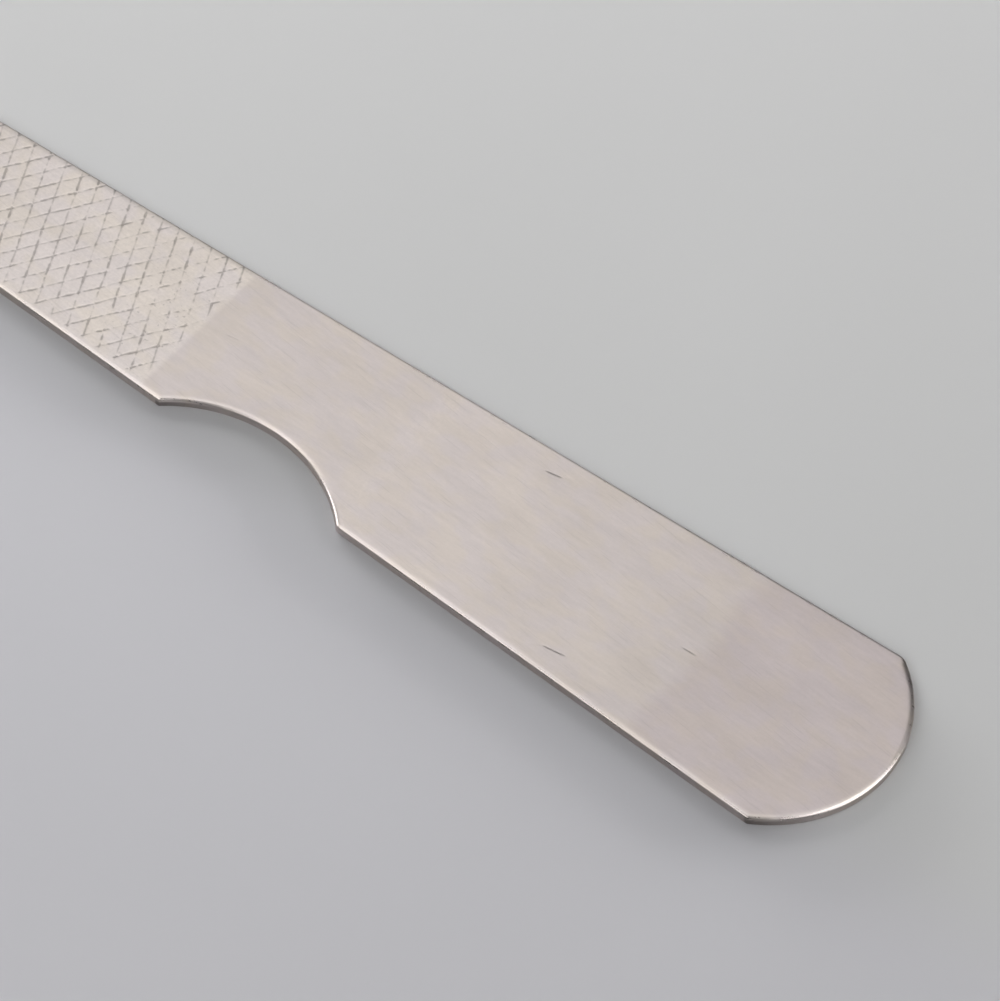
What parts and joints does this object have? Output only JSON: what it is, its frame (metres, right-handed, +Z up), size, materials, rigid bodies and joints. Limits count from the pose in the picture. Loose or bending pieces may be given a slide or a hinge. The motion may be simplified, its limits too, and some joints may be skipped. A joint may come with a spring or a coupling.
{
  "type": "spudger tool",
  "caption": "Flat one-piece steel pry tool: a wide blade with a convex end, a round thumb notch in one side, a hatched grip and a narrow round end.",
  "frame": {"origin": "under the middle of the strip's bounding box, on the surface that it lies on", "axes": "+X along the strip towards the wide blade, +Z up out of the hatched face, the thumb notch on the -Y side"},
  "size_m": [0.165, 0.02, 0.0008],
  "materials": {
    "satin_steel": "satin, brushed along the strip, with tumbled edges and a brighter ground end"
  },
  "bodies": {
    "root": {"steel_strip": "satin_steel"}
  },
  "joints": []
}
